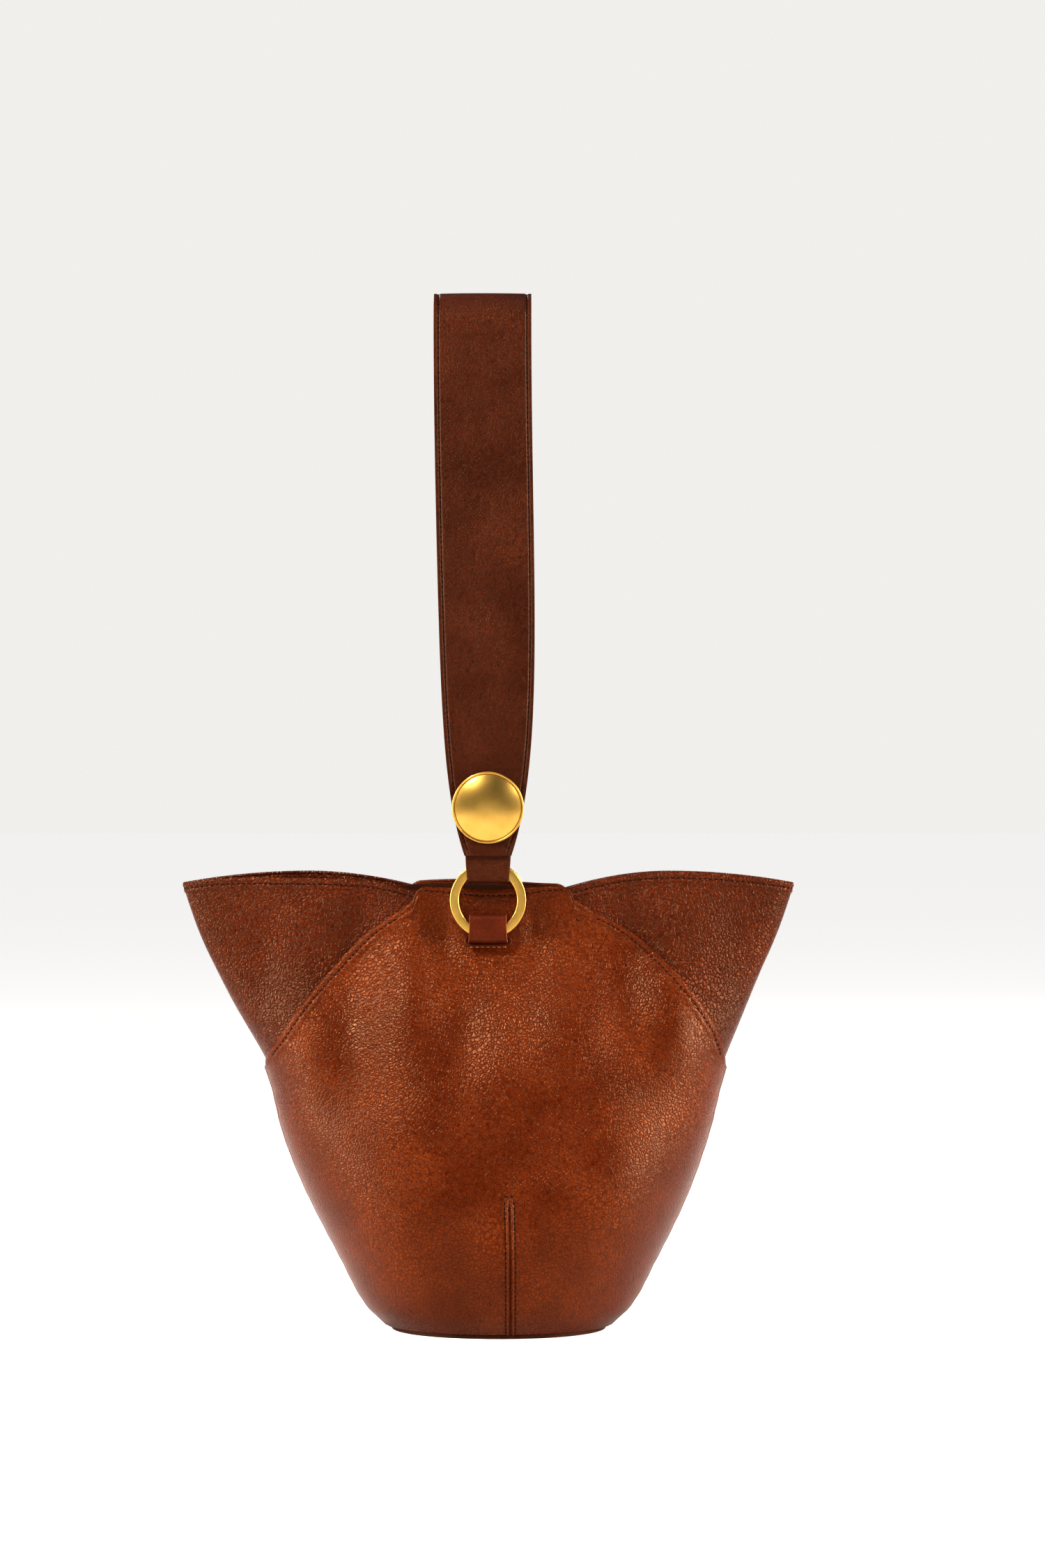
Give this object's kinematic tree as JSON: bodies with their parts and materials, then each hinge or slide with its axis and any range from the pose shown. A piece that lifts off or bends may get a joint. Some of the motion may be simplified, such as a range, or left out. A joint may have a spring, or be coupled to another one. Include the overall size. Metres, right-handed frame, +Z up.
{
  "type": "leather bucket bag",
  "caption": "Small leather bucket bag with flared wings at the mouth, two hardware rings and one wide looped strap fixed with round studs.",
  "frame": {"origin": "middle of the base, on the surface that the bag stands on", "axes": "+Z up, -Y towards the front panel, +X towards the right wing as seen from the front"},
  "size_m": [0.2814, 0.122, 0.478],
  "materials": {
    "panel_leather": "pebbled cognac leather with a soft shine",
    "wing_leather": "pebbled cognac leather with a strong grain",
    "facing_leather": "smooth brown leather",
    "tab_leather": "smooth cognac leather",
    "strap_leather": "fine grained red-brown leather",
    "base_leather": "smooth brown leather",
    "lining_cloth": "woven cotton twill",
    "stiffener": "pressed fibre board",
    "satin_brass": "satin brass"
  },
  "bodies": {
    "bag": {"front_panel": "panel_leather", "back_panel": "panel_leather", "left_wing": "wing_leather", "right_wing": "wing_leather", "rim_facing": "facing_leather", "body_lining": "lining_cloth", "base_lining": "lining_cloth", "base_board": "stiffener", "base_panel": "base_leather", "front_tab": "tab_leather", "back_tab": "tab_leather", "front_tab_backing": "stiffener", "back_tab_backing": "stiffener"},
    "handle": {"strap_face": "strap_leather", "strap_core": "stiffener", "strap_lining": "strap_leather", "front_tongue": "strap_leather", "back_tongue": "strap_leather"},
    "front_ring": {"front_ring": "satin_brass"},
    "back_ring": {"back_ring": "satin_brass"},
    "front_stud": {"front_stud_cap": "satin_brass", "front_stud_screw": "satin_brass"},
    "back_stud": {"back_stud_cap": "satin_brass", "back_stud_screw": "satin_brass"}
  },
  "joints": [
    {"name": "handle_swing", "type": "hinge", "parent": "bag", "child": "handle", "pos_m": [0, 0, 0.198], "axis": [0, 1, 0], "range_deg": [-80, 80]},
    {"name": "front_ring_spin", "type": "hinge", "parent": "bag", "child": "front_ring", "pos_m": [0, -0.0205, 0.198], "axis": [0, -1, 0], "continuous": true},
    {"name": "back_ring_spin", "type": "hinge", "parent": "bag", "child": "back_ring", "pos_m": [0, 0.0205, 0.198], "axis": [0, 1, 0], "continuous": true},
    {"name": "front_stud_turn", "type": "hinge", "parent": "handle", "child": "front_stud", "pos_m": [0, -0.0245, 0.2405], "axis": [0, -1, 0], "continuous": true},
    {"name": "back_stud_turn", "type": "hinge", "parent": "handle", "child": "back_stud", "pos_m": [0, 0.0245, 0.2405], "axis": [0, 1, 0], "continuous": true}
  ]
}
